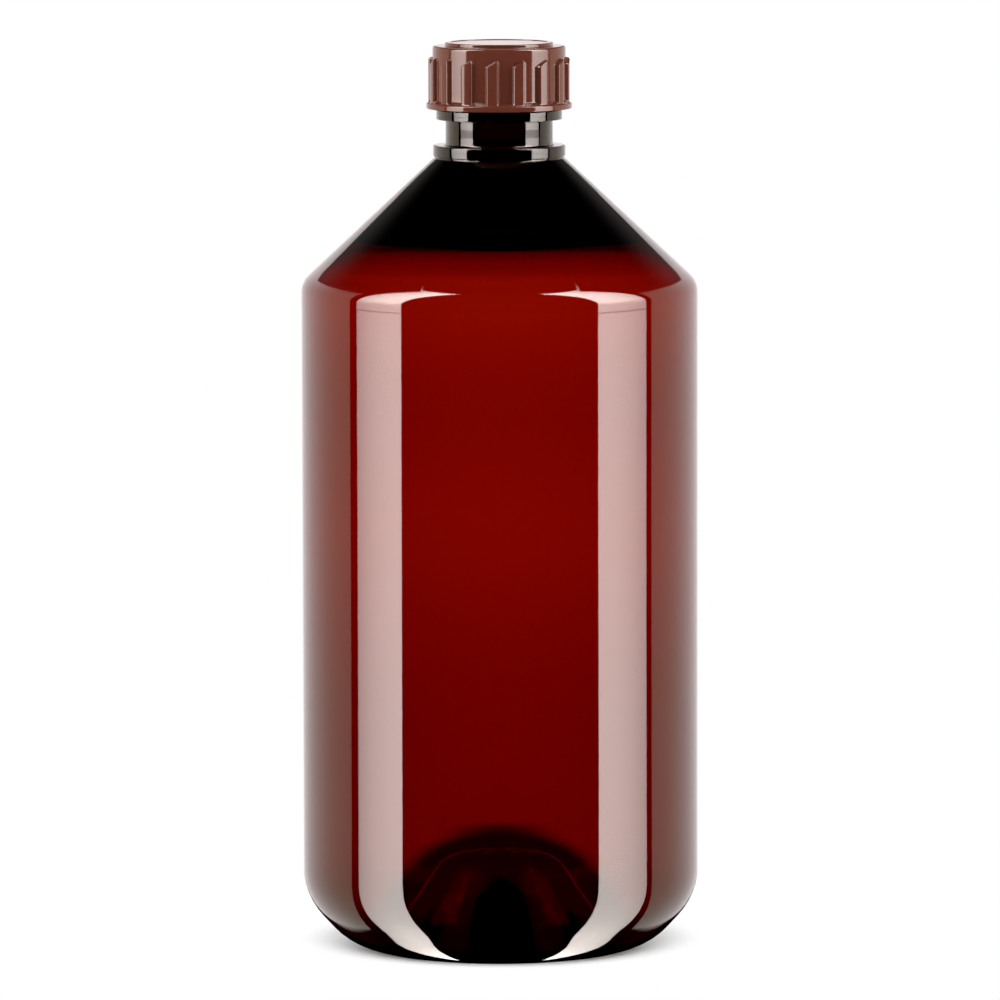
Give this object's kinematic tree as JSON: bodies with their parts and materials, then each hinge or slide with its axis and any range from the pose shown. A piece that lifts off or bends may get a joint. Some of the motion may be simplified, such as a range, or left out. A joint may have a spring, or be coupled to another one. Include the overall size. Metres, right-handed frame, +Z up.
{
  "type": "plastic bottle",
  "caption": "Amber one litre PET bottle with a straight wall, a cone shoulder, a push-up base and a ribbed brown screw cap with a foam liner.",
  "frame": {"origin": "centre of the standing ring, on the surface that the bottle stands on", "axes": "+Z up along the bottle's axis, out of its mouth; -Y is the front, as pictured"},
  "size_m": [0.092, 0.092, 0.2112],
  "materials": {
    "amber_pet": "clear amber, glossy",
    "brown_cap": "satin gloss",
    "liner_foam": "matte"
  },
  "bodies": {
    "bottle": {"bottle": "amber_pet"},
    "liner": {"sealing_liner": "liner_foam"},
    "cap": {"screw_cap": "brown_cap"}
  },
  "joints": [
    {"name": "cap_lift", "type": "slide", "parent": "bottle", "child": "liner", "axis": [0, 0, 1], "range_m": [0, 0.0159]},
    {"name": "cap_turn", "type": "hinge", "parent": "liner", "child": "cap", "pos_m": [0, 0, 0.2], "axis": [0, 0, 1], "range_deg": [0, 1800]}
  ],
  "couplings": [
    {"joint": "cap_lift", "follows": "cap_turn", "m_per_rad": 0.00050611}
  ]
}
